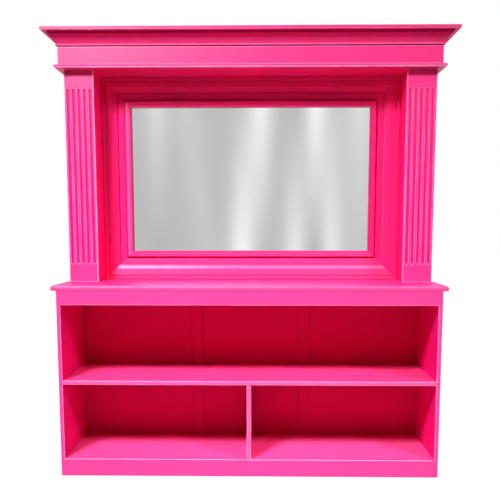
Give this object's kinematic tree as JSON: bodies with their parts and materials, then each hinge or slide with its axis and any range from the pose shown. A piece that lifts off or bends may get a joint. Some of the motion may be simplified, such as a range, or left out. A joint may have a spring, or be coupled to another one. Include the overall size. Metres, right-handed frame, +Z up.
{
  "type": "salon back bar",
  "caption": "Painted salon back bar: open-shelf base with counter, and a hutch of fluted pilasters, framed mirror and crown cornice for display and storage.",
  "frame": {"origin": "on the floor, under the middle of the footprint", "axes": "+Z up, the front faces -Y, +X to the right-hand end seen from the front"},
  "size_m": [2.012, 0.4844, 2.1585],
  "materials": {
    "gloss_paint": "semi-gloss hot pink paint on wood",
    "satin_paint": "satin hot pink paint on wood panels and mouldings",
    "bare_plywood": "bare plywood",
    "hardboard": "brown hardboard",
    "silvered_glass": "silvered mirror glass"
  },
  "bodies": {
    "root": {"base_side_left": "satin_paint", "base_side_right": "satin_paint", "base_top_rail": "satin_paint", "base_rear_rail": "satin_paint", "middle_shelf": "satin_paint", "shelf_divider": "satin_paint", "bottom_shelf": "satin_paint", "plinth_front": "satin_paint", "plinth_rear_bearer": "bare_plywood", "plinth_centre_bearer": "bare_plywood", "base_back_panel_left": "satin_paint", "base_back_panel_centre": "satin_paint", "base_back_panel_right": "satin_paint", "back_batten_upper_left": "satin_paint", "back_batten_upper_right": "satin_paint", "back_batten_lower_left": "satin_paint", "back_batten_lower_right": "satin_paint", "counter_top": "gloss_paint", "pilaster_face_left": "gloss_paint", "pilaster_face_right": "gloss_paint", "hutch_side_left": "satin_paint", "hutch_side_right": "satin_paint", "niche_reveal_left": "satin_paint", "niche_reveal_right": "satin_paint", "fixing_cleat_left": "bare_plywood", "fixing_cleat_right": "bare_plywood", "hutch_back_panel": "bare_plywood", "mirror_backing": "hardboard", "mirror_glass": "silvered_glass", "mirror_casing_top": "satin_paint", "mirror_casing_bottom": "satin_paint", "mirror_casing_left": "satin_paint", "mirror_casing_right": "satin_paint", "mirror_frame_top": "satin_paint", "mirror_frame_bottom": "satin_paint", "mirror_frame_left": "satin_paint", "mirror_frame_right": "satin_paint", "soffit_board": "satin_paint", "frieze_front": "gloss_paint", "frieze_return_left": "gloss_paint", "frieze_return_right": "gloss_paint", "cornice_back": "bare_plywood", "crown_front": "satin_paint", "crown_return_left": "satin_paint", "crown_return_right": "satin_paint", "cap_board": "gloss_paint"}
  },
  "joints": []
}
